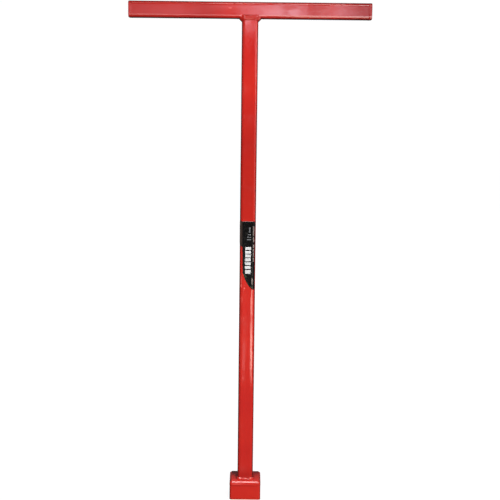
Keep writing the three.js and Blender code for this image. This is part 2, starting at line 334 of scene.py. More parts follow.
pieces["handle_tube"] = tube_object(
    "handle_bar", handle_lo.x, handle_hi.x, lying,
    dish=0.05 * MM, wave=0.035 * MM, seed=23, seam_side=0, deep_side=3,
    dents=(
        (2, 0.1, 0.060, 9 * MM, 0.14 * MM), (2, -0.3, -0.090, 6 * MM, 0.10 * MM),
        (1, 0.1, 0.120, 7 * MM, 0.12 * MM), (0, -0.2, -0.040, 6 * MM, 0.12 * MM),
    ),
    # painted light and shade along the handle, darkest at its right end
    tone=(
        np.array([-174, -147, -110, -64, -46, -34, -18, 0, 27,
                  55, 82, 96, 114, 128, 137, 156, 165, 183]) * MM,
        [0.83, 0.88, 0.93, 0.85, 0.96, 1.05, 1.03, 1.04, 1.03,
         0.92, 0.90, 0.80, 0.84, 0.87, 0.81, 0.70, 0.62, 0.57],
    ),
)
pieces["socket_tube"] = tube_object(
    "socket_skirt", socket_lo.z, socket_hi.z, upright,
    side=HEAD, wall=HEAD_WALL, r=HEAD_R, r_in=HEAD_R_IN, step=2 * MM, inner_step=3 * MM,
    dish=0.12 * MM, wave=0.035 * MM, lip=0.6 * MM, seed=31, seam_side=1, flat_steps=20,
    # painted light: the skirt a little brighter
    rim=0.06 * MM, wear_low=0.5, tone=([0.0, 0.025], [1.07, 1.09]),
)

# --------------------------------------------------------------------------
# plates: the head's top and the handle's end caps
# --------------------------------------------------------------------------


def plate_mesh(side, r, z0, z1, low_r, top_edge, top_height, seed, flat_steps, wear):
    """Solid plate from z0 to z1, built as rings of (inset, z) from the bottom to the top.

    top_edge holds the rings of the upper edge, and top_height is the height kept clear for them.
    Returns vertices, faces, edge wear and the number of vertices in a ring."""
    half = side / 2
    rings = [(half * 0.75, z0)]
    rings += [(low_r + (half - low_r) * f, z0) for f in (0.5, 0.3, 0.15, 0.06, 0.02)]
    for i in range(7):
        a = i / 6 * QUARTER_TURN
        rings.append((low_r * (1 - math.sin(a)), z0 + low_r * (1 - math.cos(a))))
    wall_height = z1 - z0 - low_r - top_height
    rings += [(0.0, z0 + low_r + wall_height * f) for f in (0.04, 0.3, 0.5, 0.65, 0.8, 0.96)]
    rings += top_edge
    top_inset = top_edge[-1][0]
    rings += [
        (top_inset + (half - top_inset) * f, z1) for f in (0.02, 0.06, 0.15, 0.25, 0.35, 0.5, 0.75)
    ]
    wave, warp = 0.02 * MM, 0.03 * MM
    verts, edge = [], []
    for inset, z in rings:
        ring_r = max(r - 0.75 * inset, 0.5 * MM * (1 - min(1, inset / half)) + 0.05 * MM)
        ring_r = min(ring_r, (half - inset) * 0.9)
        points, normals, _, _ = rounded_square(side - 2 * inset, ring_r, flat_steps)
        count = len(points)
        flat3 = np.column_stack([points, np.full(count, z)])
        d = np.zeros(count)
        if inset < top_inset + 1 * MM:
            d = wave * noise3(flat3, 11 * MM, seed)
        lift = warp * noise3(flat3, 14 * MM, seed + 2) if z > z1 - 0.1 * MM else 0.0
        verts.append(np.column_stack([points + normals * d[:, None], flat3[:, 2] + lift]))
        near_rim = z > z1 - top_inset * 1.01 or z < z0 + low_r * 1.01
        edge.append(np.full(count, wear if inset < top_inset * 1.01 and near_rim else 0.0))
    faces = []
    for i in range(len(rings) - 1):
        a, b = i * count, (i + 1) * count
        for j in range(count):
            k = (j + 1) % count
            faces.append((a + j, a + k, b + k, b + j))
    faces.append(tuple(reversed(range(count))))
    faces.append(tuple((len(rings) - 1) * count + j for j in range(count)))
    return np.concatenate(verts), faces, np.concatenate(edge), count


def head_plate():
    """Top of the head; its upper edge is a nearly flat bevel with soft shoulders."""
    wide, high, soft = 3.4 * MM, 2.6 * MM, 1.0 * MM
    z1 = plate_hi.z
    slope = math.atan2(wide, high)
    low_run = soft * math.tan(slope / 2)
    high_run = soft * math.tan((QUARTER_TURN - slope) / 2)
    bevel = []
    for i in range(5):
        a = i / 4 * slope
        z = z1 - high - low_run + soft * math.sin(a)
        bevel.append((soft * (1 - math.cos(a)), z))
    inset0, bevel_z0 = bevel[-1]
    inset1 = wide + high_run - soft * math.cos(slope)
    bevel_z1 = z1 - soft * (1 - math.sin(slope))
    for i in range(1, 6):
        f = i / 6
        crown = 0.05 * MM * math.sin(math.pi * f)
        z = bevel_z0 + (bevel_z1 - bevel_z0) * f + crown
        bevel.append((inset0 + (inset1 - inset0) * f - crown, z))
    for i in range(5):
        a = slope + i / 4 * (QUARTER_TURN - slope)
        bevel.append((wide + high_run - soft * math.cos(a), z1 - soft * (1 - math.sin(a))))
    verts, faces, edge, _ = plate_mesh(
        HEAD, HEAD_R, plate_lo.z, z1, low_r=0.3 * MM, top_edge=bevel,
        top_height=high + soft * 0.6, seed=37, flat_steps=20, wear=0.45,
    )
    # painted shade: the top face darkens towards the back, less so on the right
    x, y, z = verts.T
    lean = 1 + 0.35 * np.clip(x / (20 * MM), -1, 1) * np.clip(y / (14 * MM) + 0.3, 0, 1)
    painted_top_shade = lean * np.interp(
        y,
        [-0.022, -0.016, -0.0046, 0.001, 0.007, 0.0127, 0.0185],
        [1.42, 1.40, 1.12, 0.80, 0.50, 0.30, 0.18],
    )
    # painted highlight: a brighter line along the front, just under the bevel, fading to the right
    line = np.exp(-(((z - (z1 - high - 1.2 * MM)) / (0.55 * MM)) ** 2)) * (y < -HEAD / 2 * 0.9)
    painted_line_highlight = 1 + 0.36 * line * np.interp(x, [-0.022, -0.002, 0.02], [1.0, 0.7, 0.25])
    top = z > z1 - 0.5 * MM
    attrs = {
        "edge": edge,
        "inside": np.zeros(len(verts)),
        "tone": np.where(top, painted_top_shade, painted_line_highlight),
        "keep": np.where(top, 0.95, np.where(z > z1 - high - 0.2 * MM, 0.7, 0.0)),
    }
    return make_object("socket_plate", verts, faces, attrs)


def end_cap(name, sign, near, far, tone):
    """Cap on one end of the handle, from near to far out along x * sign."""
    rim = 0.9 * MM
    edge_rings = []
    for i in range(9):
        a = i / 8 * QUARTER_TURN
        edge_rings.append((rim * (1 - math.cos(a)), far - rim * (1 - math.sin(a))))
    verts, faces, edge, count = plate_mesh(
        TUBE, R_OUT, near, far, low_r=0.2 * MM, top_edge=edge_rings, top_height=rim,
        seed=41 + sign, flat_steps=12, wear=0.7,
    )
    total = len(verts)
    verts = np.column_stack([sign * verts[:, 2], verts[:, 0], verts[:, 1] + Z_AXIS])
    attrs = plain_attrs(total, tone)
    attrs["edge"] = edge
    # the outer face is the last seven rings
    attrs["keep"] = np.where(np.arange(total) >= total - 7 * count, 0.9, 0.0)
    return make_object(name, verts, faces, attrs)


pieces["socket_top_plate"] = head_plate()
# painted shade: the right end cap is darker than the left
pieces["handle_end_cap_left"] = end_cap(
    "end_cap_left", -1, -cap_left_hi.x, -cap_left_lo.x, tone=0.88
)
pieces["handle_end_cap_right"] = end_cap(
    "end_cap_right", 1, cap_right_lo.x, cap_right_hi.x, tone=0.62
)

# --------------------------------------------------------------------------
# weld beads
# --------------------------------------------------------------------------
# each side, with the quarter turns that bring the front (-Y) round to it
SIDES = [("front", 0), ("right", 1), ("back", 2), ("left", 3)]


def side_stations(side, r, spacing, extra):
    """Stations along the -Y side of a rounded square, from the middle of one corner to the middle
    of the next and extra metres past each. Returns arc position, half length, points, normals."""
    c = side / 2 - r
    half = c + r * math.pi / 4 + extra
    n = int(2 * half / spacing) + 1
    s = np.linspace(-half, half, n)
    points = np.zeros((n, 2))
    normals = np.zeros((n, 2))
    for i, si in enumerate(s):
        sign = 1 if si > 0 else -1
        lean = (abs(si) - c) / r
        if lean <= 0:
            points[i] = (si, -side / 2)
            normals[i] = (0, -1)
        elif lean <= QUARTER_TURN:
            nx, ny = sign * math.sin(lean), -math.cos(lean)
            points[i] = (sign * c + r * nx, -c + r * ny)
            normals[i] = (nx, ny)
        else:
            points[i] = (sign * side / 2, -c + abs(si) - c - r * QUARTER_TURN)
            normals[i] = (sign, 0)
    return s, half, points, normals


def quarter(points, turns):
    """Turn (x, y) points about z by quarter turns."""
    out = np.array(points, float)
    for _ in range(turns):
        out = np.stack([-out[..., 1], out[..., 0]], -1)
    return out


def ripple(s, v, pitch, seed):
    """Overlapping crescents of a hand-laid bead, 0..1, at v of the way across it."""
    phase = (s + 0.42 * pitch * noise1(s, 5 * MM, seed)) / pitch + 0.95 * (1 - (2 * v - 1) ** 2)
    part = phase - np.floor(phase)
    rise = np.clip(part / 0.22, 0, 1)
    rise = rise * rise * (3 - 2 * rise)
    return rise * (1 - 0.85 * part) + 0.08


def spatter_balls(spots):
    """Small fused droplets: flattened low domes. Each spot is (centre, normal, radius)."""
    verts, faces = [], []
    rings, segments = 5, 12
    flatten = 0.62
    for centre, normal, rad in spots:
        centre = Vector(centre)
        n = Vector(normal).normalized()
        t = n.orthogonal().normalized()
        b = n.cross(t)
        base = len(verts)
        for i in range(rings):
            fall = (i + 1) / rings * QUARTER_TURN * 1.18
            height = rad * flatten * math.cos(fall)
            reach = rad * math.sin(min(fall, QUARTER_TURN))
            for k in range(segments):
                a = k / segments * 2 * math.pi
                verts.append(tuple(
                    centre + n * height + (t * math.cos(a) + b * math.sin(a)) * reach
                ))
        top = len(verts)
        verts.append(tuple(centre + n * rad * flatten))
        low = len(verts)
        verts.append(tuple(centre - n * rad * 0.3))
        last = base + (rings - 1) * segments
        for k in range(segments):
            k2 = (k + 1) % segments
            faces.append((top, base + k, base + k2))
            for i in range(rings - 1):
                upper, lower = base + i * segments, base + (i + 1) * segments
                faces.append((upper + k, lower + k, lower + k2, upper + k2))
            faces.append((last + k, low, last + k2))
    return verts, faces


def bead_object(
    name, turns, profile, root, pitch, amp, seed, side=TUBE, r=R_OUT, spacing=0.2 * MM,
    extra=1.4 * MM, rows=15, taper=1.6 * MM, lump=0.18, lump_size=4 * MM, spots=(),
):
    """One weld run along one side, rippled across its bulging surface.

    profile(s) gives the low toe, the high toe and the bulge at arc position s. Toes and the
    buried root are offsets (out, z)."""
    s, half, points, normals = side_stations(side, r, spacing, extra)
    low, high, bulge = (np.array(part) for part in zip(*map(profile, s)))
    end = np.clip((half - np.abs(s)) / taper, 0, 1)
    size = np.sqrt(np.clip(1 - (1 - end) ** 2, 0.02, 1))
    mid = (low + high) / 2
    low_width = size * (1 + 0.10 * noise1(s + 0.3, 5.5 * MM, seed + 1))
    high_width = size * (1 + 0.10 * noise1(s + 0.7, 4.5 * MM, seed + 2))
    low = mid + (low - mid) * low_width[:, None]
    high = mid + (high - mid) * high_width[:, None]
    span = high - low
    length = np.linalg.norm(span, axis=1)[:, None]
    perp = np.column_stack([span[:, 1], -span[:, 0]]) / np.maximum(length, 1e-9)
    perp = np.where(perp[:, :1] < 0, -perp, perp)
    tuck = 0.35 * MM  # depth of the closing points inside the steel
    loop = [low - perp * tuck]
    for v in np.linspace(0, 1, rows):
        arch = np.sin(np.pi * v) ** 0.8 if 0 < v < 1 else 0.0
        uneven = 1 + lump * noise1(s + 2 * v * MM, lump_size, seed + 3)
        waves = ripple(s, v, pitch, seed + 4) * amp * min(1.0, 3.2 * min(v, 1 - v) + 0.05)
        height = bulge * arch * uneven * size + waves * size
        loop.append(low + span * v + perp * height[:, None])
    loop += [high - perp * tuck, np.tile(root, (len(s), 1))]
    n, nv = len(s), len(loop)
    offsets = np.stack(loop, 1)
    xy = quarter(points, turns)[:, None] + quarter(normals, turns)[:, None] * offsets[..., :1]
    verts = np.concatenate([xy, offsets[..., 1:]], -1).reshape(-1, 3)
    faces = grid_faces(n, nv, False)
    faces.append(tuple(reversed(range(nv))))
    faces.append(tuple((n - 1) * nv + j for j in range(nv)))
    if spots:
        ball_verts, ball_faces = spatter_balls(spots)
        base = len(verts)
        verts = np.vstack([verts, np.array(ball_verts)])
        faces += [tuple(base + i for i in f) for f in ball_faces]
    return make_object(name, verts, faces, plain_attrs(len(verts)))


def foot_weld(name, turns):
    """Bead where one side of the shaft meets the head's top."""
    leg = 2.8 * MM
    rng = np.random.default_rng(70 + turns)
    spots = []
    for _ in range(5):  # on the plate
        x = rng.uniform(-14, 14) * MM
        out = TUBE / 2 + rng.uniform(5.5, 10) * MM
        px, py = quarter([x, -out], turns)
        spots.append(((px, py, Z_HEAD), (0, 0, 1), rng.uniform(0.28, 0.55) * MM))
    nx, ny = quarter([0.0, -1.0], turns)
    for _ in range(3):  # on the shaft
        px, py = quarter([rng.uniform(-8.5, 8.5) * MM, -TUBE / 2 + 0.05 * MM], turns)
        z = Z_HEAD + rng.uniform(6, 14) * MM
        spots.append(((px, py, z), (nx, ny, 0), rng.uniform(0.25, 0.45) * MM))
    low = (leg + 0.15 * MM, Z_HEAD - 0.08 * MM)
    high = (-0.08 * MM, Z_HEAD + leg)
    return bead_object(
        f"foot_bead_{name}", turns, lambda s: (low, high, 0.45 * MM),
        root=(-0.5 * MM, Z_HEAD - 0.4 * MM), pitch=1.6 * MM, amp=0.40 * MM,
        seed=100 + turns * 7, lump=0.80, lump_size=3.4 * MM, spots=spots,
    )


def tee_profile(lean):
    """Toes and bulge of the tee bead where the shaft's normal leans from square to the handle's
    long faces (0) to along the handle (a quarter turn)."""
    leg, face_drop = 4.5 * MM, 2.6 * MM
    face_bulge, under_bulge = 1.35 * MM, -0.15 * MM
    share = lean / QUARTER_TURN
    low = (-0.08 * MM, Z_TEE - face_drop - (leg - face_drop) * share ** 0.8)
    facing = math.cos(lean)
    out = leg if facing < 1e-6 else min(leg, R_OUT / facing - R_OUT)
    depth = (R_OUT + out) * facing  # distance past the start of the handle's rounding
    if depth < R_OUT - 1e-7:
        high = (out, Z_TEE + R_OUT - math.sqrt(R_OUT**2 - depth**2) + 0.08 * MM)
    else:
        high = (out - 0.10 * MM * facing, Z_TEE + R_OUT + 0.9 * MM * facing**2)
    return low, high, face_bulge + (under_bulge - face_bulge) * share


def tee_weld(name, turns):
    """Bead where one side of the shaft meets the handle."""
    along_handle = name in ("front", "back")
    nx, ny = quarter([0.0, -1.0], turns)
    rng = np.random.default_rng(90 + turns)

    def profile(s):
        turned = min(max((abs(s) - HALF_FLAT) / R_OUT, 0.0), QUARTER_TURN)
        return tee_profile(turned if along_handle else QUARTER_TURN - turned)

    spots = []
    for _ in range(5):  # on the handle
        if along_handle:
            x = rng.uniform(-24, 24) * MM
            z = Z_TEE + rng.uniform(5.5, 16) * MM
            rad = rng.uniform(0.28, 0.6) * MM
            spots.append(((x, ny * (TUBE / 2 - 0.12 * MM), z), (0, ny, 0), rad))
        else:
            x = nx * (TUBE / 2 + rng.uniform(6, 14) * MM)
            y = rng.uniform(-8, 8) * MM
            spots.append(((x, y, Z_TEE), (0, 0, -1), rng.uniform(0.28, 0.55) * MM))
    out = TUBE / 2 - 0.06 * MM
    for _ in range(4):  # on the shaft
        across = rng.uniform(-8, 8) * MM
        z = Z_TEE - rng.uniform(5 if along_handle else 6.5, 15) * MM
        centre = (across, ny * out, z) if along_handle else (nx * out, across, z)
        spots.append((centre, (nx, ny, 0), rng.uniform(0.25, 0.5) * MM))
    return bead_object(
        f"tee_bead_{name}", turns, profile, root=(-0.5 * MM, Z_TEE + 0.3 * MM),
        pitch=1.6 * MM, amp=0.52 * MM, seed=160 + turns * 9, lump=0.75, extra=1.2 * MM,
        spots=spots,
    )


def socket_seam(name, turns):
    """Ground seam between the head's tube and its top plate, along one side."""
    zc = (socket_hi.z + plate_lo.z) / 2
    low = (-0.12 * MM, zc - 1.35 * MM)
    high = (-0.12 * MM, zc + 1.25 * MM)
    return bead_object(
        f"socket_seam_{name}", turns, lambda s: (low, high, 0.30 * MM),
        root=(-2.4 * MM, zc), pitch=3.1 * MM, amp=0.04 * MM, seed=210 + turns * 5,
        side=HEAD, r=HEAD_R, spacing=0.4 * MM, extra=1.0 * MM, rows=11, taper=2.5 * MM,
    )


def end_seam(name, sign, x0, x1, seed, tone):
    """Dressed seam round the handle's end, closed on itself."""
    points, normals, _, _ = rounded_square(TUBE, R_OUT, 18)
    count = len(points)
    rows = 9
    xc, half_width = (x0 + x1) / 2, (x1 - x0) / 2 + 0.35 * MM
    at_centre = np.column_stack([points, np.full(count, xc)])
    uneven = 1 + 0.35 * noise3(at_centre, 4 * MM, seed)
    rings = []
    for j in range(rows):
        v = j / (rows - 1)
        out = -0.10 * MM + 0.24 * MM * math.sin(math.pi * v) ** 0.7 * uneven
        out = out + 0.04 * MM * noise3(at_centre + [0, 0, v * 2 * MM], 1.8 * MM, seed + 1)
        rings.append((xc + (2 * v - 1) * half_width, out))
    # closing rings, inside the steel
    sunk = np.full(count, -1.7 * MM)
    rings += [(xc + 0.7 * half_width, sunk), (xc - 0.7 * half_width, sunk)]
    verts = []
    for x, out in rings:
        pos = points + normals * out[:, None]
        verts.append(lying(pos[:, 0], pos[:, 1], np.full(count, sign * x)))
    verts = np.array(verts).transpose(1, 0, 2).reshape(-1, 3)
    faces = grid_faces(count, len(rings), True)
    return make_object(name, verts, faces, plain_attrs(len(verts), tone))


for prefix, build in (
    ("foot_weld", foot_weld), ("handle_weld", tee_weld), ("socket_seam_weld", socket_seam),
):
    for side_name, side_turns in SIDES:
        pieces[f"{prefix}_{side_name}"] = build(side_name, side_turns)
# painted shade: the right end seam is darker than the left
pieces["end_cap_weld_left"] = end_seam(
    "end_cap_seam_left", -1, -handle_lo.x, -cap_left_hi.x, seed=301, tone=0.88
)
pieces["end_cap_weld_right"] = end_seam(
    "end_cap_seam_right", 1, handle_hi.x, cap_right_lo.x, seed=311, tone=0.66
)

# --------------------------------------------------------------------------
# the label: front face of the shaft, round both of its corners
# --------------------------------------------------------------------------
ARC = R_OUT * math.pi / 2  # length round one corner
LABEL_TOP, LABEL_TIP = label_hi.z, label_lo.z
FACE_LEFT = -HALF_FLAT
LABEL_LEFT = -HALF_FLAT - ARC * 0.98
LABEL_RIGHT = HALF_FLAT + R_OUT * math.pi / 4
LOW_LEFT = LABEL_TIP + 27.8 * MM  # lower edge at the left of the face
WRAP_LOW = LABEL_TIP + 67.5 * MM  # lower edge of the part round the left corner
LABEL_ROWS = 110
VINYL_IN, VINYL_OUT = 0.02 * MM, 0.17 * MM
INK_IN, INK_OUT = 0.155 * MM, 0.187 * MM


def on_shaft(s, z, off):
    """Point at arc position s (0 in the middle of the front face, + to the right) and height z,
    off metres above the uneven face of the shaft."""
    lean = np.clip((np.abs(s) - HALF_FLAT) / R_OUT, 0, QUARTER_TURN)
    sign = np.sign(s)
    past = np.maximum(np.abs(s) - HALF_FLAT - ARC, 0)
    nx, ny = sign * np.sin(lean), -np.cos(lean)
    x = np.where(np.abs(s) <= HALF_FLAT, s, sign * HALF_FLAT + R_OUT * nx)
    y = -HALF_FLAT + R_OUT * ny + past
    base = np.stack([x, y, z], -1)
    d = face_dish(np.clip(s / HALF_FLAT, -1, 1), SHAFT_DISH)
    d = d + face_wave(base, SHAFT_WAVE, SHAFT_SEED) + off
    return np.stack([x + nx * d, y + ny * d, z], -1)


def label_low(s):
    """Height of the lower edge: a sweep down to the tip at the right, stepped up at the left."""
    t = np.clip((s - FACE_LEFT) / (LABEL_RIGHT - FACE_LEFT), 0, 1)
    low = LABEL_TIP + (LOW_LEFT - LABEL_TIP) * (1 - t) ** 2.1
    wrapped = WRAP_LOW + 7 * MM * np.clip((-s - HALF_FLAT) / ARC, 0, 1)
    k = np.clip((s - FACE_LEFT) / (0.6 * MM) + 1, 0, 1)
    k = k * k * (3 - 2 * k)
    return np.where(s < FACE_LEFT, wrapped * (1 - k) + low * k, low)


def label_top(s):
    """Height of the upper edge, with a rounded corner at each end."""
    r = 1.6 * MM
    top = np.full_like(s, LABEL_TOP)
    for end in (LABEL_LEFT, LABEL_RIGHT):
        gap = np.abs(s - end)
        drop = r - np.sqrt(np.maximum(r * r - (r - np.clip(gap, 0, r)) ** 2, 0))
        top = np.where(gap < r, LABEL_TOP - drop, top)
    return top


def bubbles(s, z):
    """Lift of the vinyl: slow waves, a raised left end and two small blisters."""
    soft = 0.018 * MM * noise3(np.stack([s, np.zeros_like(s), z], -1), 6 * MM, 501)
    end = 0.10 * MM * np.clip((-s - HALF_FLAT - ARC * 0.72) / (ARC * 0.3), 0, 1) ** 2
    lift = np.abs(soft) + end
    # centre (s, depth below the top), radii and height, in millimetres
    for cs, below, rs, rz, height in ((-3.2, 17, 1.6, 2.4, 0.10), (4.8, 71, 1.2, 1.5, 0.08)):
        ds = (s - cs * MM) / (rs * MM)
        dz = (z - LABEL_TOP + below * MM) / (rz * MM)
        lift = lift + height * MM * np.exp(-(ds**2 + dz**2))
    return lift


def closed_sheet(s, z, off_in, off_out):
    """Thin closed sheet on the shaft from a lattice of arc positions and heights."""
    extra = bubbles(s, z)
    outer = on_shaft(s, z, off_out + extra)
    inner = on_shaft(s, z, off_in + extra)
    nu, nv = s.shape
    n = nu * nv
    faces = []
    for i in range(nu - 1):
        for j in range(nv - 1):
            a, b = i * nv + j, (i + 1) * nv + j
            faces.append((a, b, b + 1, a + 1))
            faces.append((n + a + 1, n + b + 1, n + b, n + a))
    for i in range(nu - 1):
        a, b = i * nv, (i + 1) * nv
        faces.append((a, n + a, n + b, b))
        a, b = a + nv - 1, b + nv - 1
        faces.append((a, b, n + b, n + a))
    last = (nu - 1) * nv
    for j in range(nv - 1):
        faces.append((j, j + 1, n + j + 1, n + j))
        faces.append((last + j, n + last + j, n + last + j + 1, last + j + 1))
    return np.concatenate([outer.reshape(-1, 3), inner.reshape(-1, 3)]), faces


def label_sheet():
    close = np.array([0, 0.1, 0.3, 0.6, 1.0, 1.6]) * MM  # columns crowded at both ends
    cols = np.unique(np.concatenate([
        LABEL_LEFT + close,
        np.linspace(LABEL_LEFT + close[-1], FACE_LEFT - 0.7 * MM, 8),
        np.linspace(FACE_LEFT - 0.6 * MM, FACE_LEFT, 7),
        np.linspace(FACE_LEFT, LABEL_RIGHT - close[-1], 46),
        LABEL_RIGHT - close,
    ]))
    s = np.repeat(cols[:, None], LABEL_ROWS, 1)
    t = np.linspace(0, 1, LABEL_ROWS)[None, :]
    z = label_low(cols)[:, None] * (1 - t) + label_top(cols)[:, None] * t
    verts, faces = closed_sheet(s, z, VINYL_IN, VINYL_OUT)
    flap = np.clip((FACE_LEFT - 0.2 * MM - s.ravel()) / (4.2 * MM), 0, 1)
    return make_object("label_sheet", verts, faces, {"flap": np.concatenate([flap, flap])})


pieces["label"] = label_sheet()

# Plain print: bars, blocks and thin lines. Positions are (s, z) in millimetres, from the middle
# of the front face and from the label's tip.


def ink_quad(corners, cols=10, rows=6):
    """A four-cornered patch of ink."""
    c = np.array(corners, float) * MM
    u = np.linspace(0, 1, cols)[:, None, None]
    v = np.linspace(0, 1, rows)[None, :, None]
    grid = (c[0] * (1 - u) + c[1] * u) * (1 - v) + (c[3] * (1 - u) + c[2] * u) * v
    return closed_sheet(grid[..., 0], grid[..., 1] + LABEL_TIP, INK_IN, INK_OUT)


def ink_bar(left, low, right, high, **lattice):
    return ink_quad([(left, low), (right, low), (right, high), (left, high)], **lattice)


def ink_object(name, patches):
    verts, faces = [], []
    for patch_verts, patch_faces in patches:
        base = len(verts)
        verts += list(patch_verts)
        faces += [tuple(base + i for i in f) for f in patch_faces]
    return make_object(name, verts, faces)


def white_ink():
    """Six stacked bars with a block under them."""
    gap = 1.4
    bars = (  # height, left, right
        (4.8, -4.0, 4.9), (4.8, -4.0, 5.0), (4.7, -3.9, 5.1),
        (4.7, -3.9, 5.2), (4.6, -3.8, 5.3), (4.5, -3.8, 5.3),
    )
    patches = []
    z = 33.2
    for height, left, right in bars:
        patches.append(ink_bar(left, z, right, z + height))
        z += height + gap
    patches.append(ink_bar(-3.6, 25.6, 5.2, 31.6))
    return ink_object("label_print_white", patches)


def grey_ink():
    """Three short lines with an upright bar above them."""
    return ink_object("label_print_grey", [
        ink_bar(-1.4, 79.4, 5.4, 81.0),
        ink_bar(-1.2, 83.2, 5.2, 84.8),
        ink_bar(0.2, 87.0, 4.8, 88.6),
        ink_bar(2.0, 90.8, 4.2, 99.3),
    ])


def pale_ink():
    """A broken line up the right corner, and a short slanted bar near the tip."""
    spans = (
        (45.0, 51.5), (53.0, 59.5), (61.0, 65.5), (67.0, 72.0), (76.0, 84.0), (85.5, 101.0),
    )
    lattice = {"cols": 4, "rows": 10}
    patches = [ink_bar(8.3, low, 10.2, high, **lattice) for low, high in spans]
    patches.append(ink_quad([(6.6, 8.0), (8.7, 8.0), (8.7, 17.5), (6.6, 19.5)], **lattice))
    return ink_object("label_print_pale", patches)


def accent_ink():
    """A thin line that follows the lower edge, and a slanted bar over its left part."""
    stations = np.linspace(FACE_LEFT / MM + 1.0, LABEL_RIGHT / MM - 1.3, 15)
    lows = (label_low(stations * MM) - LABEL_TIP) / MM
    low, high = 1.6, 2.5  # the line's edges, above the label's lower edge
    patches = []
    for a, b, za, zb in zip(stations[:-1], stations[1:], lows[:-1], lows[1:]):
        corners = [(a, za + low), (b, zb + low), (b, zb + high), (a, za + high)]
        patches.append(ink_quad(corners, cols=4, rows=3))
    patches.append(ink_quad([(-5.6, 22.5), (-1.5, 19.0), (-1.5, 21.6), (-5.6, 25.4)]))
    return ink_object("label_print_accent", patches)


inks = [white_ink(), grey_ink(), pale_ink(), accent_ink()]

# --------------------------------------------------------------------------
# materials
# --------------------------------------------------------------------------


class Graph:
    """Short ways to build the shader nodes of a material or world."""

    def __init__(self, owner):
        self.owner = owner
        owner.use_nodes = True
        self.tree = owner.node_tree
        self.tree.nodes.clear()
        self.coord = self.node("TexCoord")

    def node(self, kind, inputs=None, **settings):
        """New node; each input is given a socket to link or a value."""
        node = self.tree.nodes.new("ShaderNode" + kind)
        for key, value in settings.items():
            setattr(node, key, value)
        for key, value in (inputs or {}).items():
            if isinstance(value, bpy.types.NodeSocket):
                self.tree.links.new(value, node.inputs[key])
            else:
                node.inputs[key].default_value = value
        return node

    def finish(self, shader):
        is_world = isinstance(self.owner, bpy.types.World)
        kind = "OutputWorld" if is_world else "OutputMaterial"
        self.node(kind, {"Surface": shader.outputs[0]})
        return self.owner

    def mapping(self, stretch=(1, 1, 1), offset=(0, 0, 0)):
        node = self.node("Mapping", {
            "Vector": self.coord.outputs["Object"], "Scale": stretch, "Location": offset,
        })
        return node.outputs[0]

    def noise(self, scale, detail=2.0, rough=0.5, **place):
        return self.node("TexNoise", {
            "Vector": self.mapping(**place), "Scale": scale, "Detail": detail, "Roughness": rough,
        }).outputs["Fac"]

    def remap(self, src, span, to=(0.0, 1.0), smooth=False):
        """Map the range span onto the range to, clamped."""
        return self.node("MapRange", {
            "Value": src, "From Min": span[0], "From Max": span[1],
            "To Min": to[0], "To Max": to[1],
        }, interpolation_type="SMOOTHSTEP" if smooth else "LINEAR").outputs["Result"]

    def math(self, operation, a, b, clamp=False):
        return self.node("Math", {0: a, 1: b}, operation=operation, use_clamp=clamp).outputs[0]

    def times(self, a, b):
        return self.math("MULTIPLY", a, b)

    def mix(self, fac, a, b):
        """Colour a, going over to colour b as fac rises."""
        a, b = ((*c, 1) if isinstance(c, tuple) else c for c in (a, b))
        return self.node("Mix", {0: fac, 6: a, 7: b}, data_type="RGBA").outputs[2]

    def attr(self, name):
        return self.node("Attribute", attribute_name=name).outputs["Fac"]

    def bump(self, height, strength, distance, over=None):
        inputs = {"Height": height, "Strength": strength, "Distance": distance}
        if over is not None:
            inputs["Normal"] = over
        return self.node("Bump", inputs).outputs[0]

    def xyz(self, coordinates="Object"):
        return self.node("SeparateXYZ", {0: self.coord.outputs[coordinates]}).outputs


# Painted highlights: pale glints painted into the colour, in millimetres: centre x, z, half width, half
# height; then strength.
PAINTED_TUBE_GLINTS = (
    (-4.3, 347.6, 1.5, 1.4, 0.85), (-9.4, 351.8, 1.4, 3.4, 0.70), (-9.6, 361.0, 1.2, 9.0, 0.45),
    (-30.5, 780.4, 3.2, 1.3, 0.55), (-4.0, 770.8, 5.0, 0.8, 0.30), (-8.0, 330.0, 1.2, 7.0, 0.25),
    (-13.0, 26.7, 11.0, 0.80, 0.50),
)
PAINTED_FOOT_GLINTS = (
    (9.0, 32.9, 2.0, 1.2, 0.90), (-7.6, 33.1, 2.4, 0.8, 0.55), (0.9, 32.7, 2.4, 0.8, 0.45),
)


def painted_glint_mask(g, marks):
    """Mask of soft elliptical marks, on the front only."""
    # the marks are painted highlights
    at = g.xyz()
    mask = None
    for cx, cz, rx, rz, amount in marks:
        dx = g.math("DIVIDE", g.math("SUBTRACT", at["X"], cx * MM), rx * MM)
        dz = g.math("DIVIDE", g.math("SUBTRACT", at["Z"], cz * MM), rz * MM)
        d2 = g.math("ADD", g.times(dx, dx), g.times(dz, dz))
        one = g.times(g.remap(d2, (0.15, 1.3), to=(1.0, 0.0), smooth=True), amount)
        mask = one if mask is None else g.math("MAXIMUM", mask, one)
    return g.times(mask, g.math("LESS_THAN", at["Y"], -0.008))


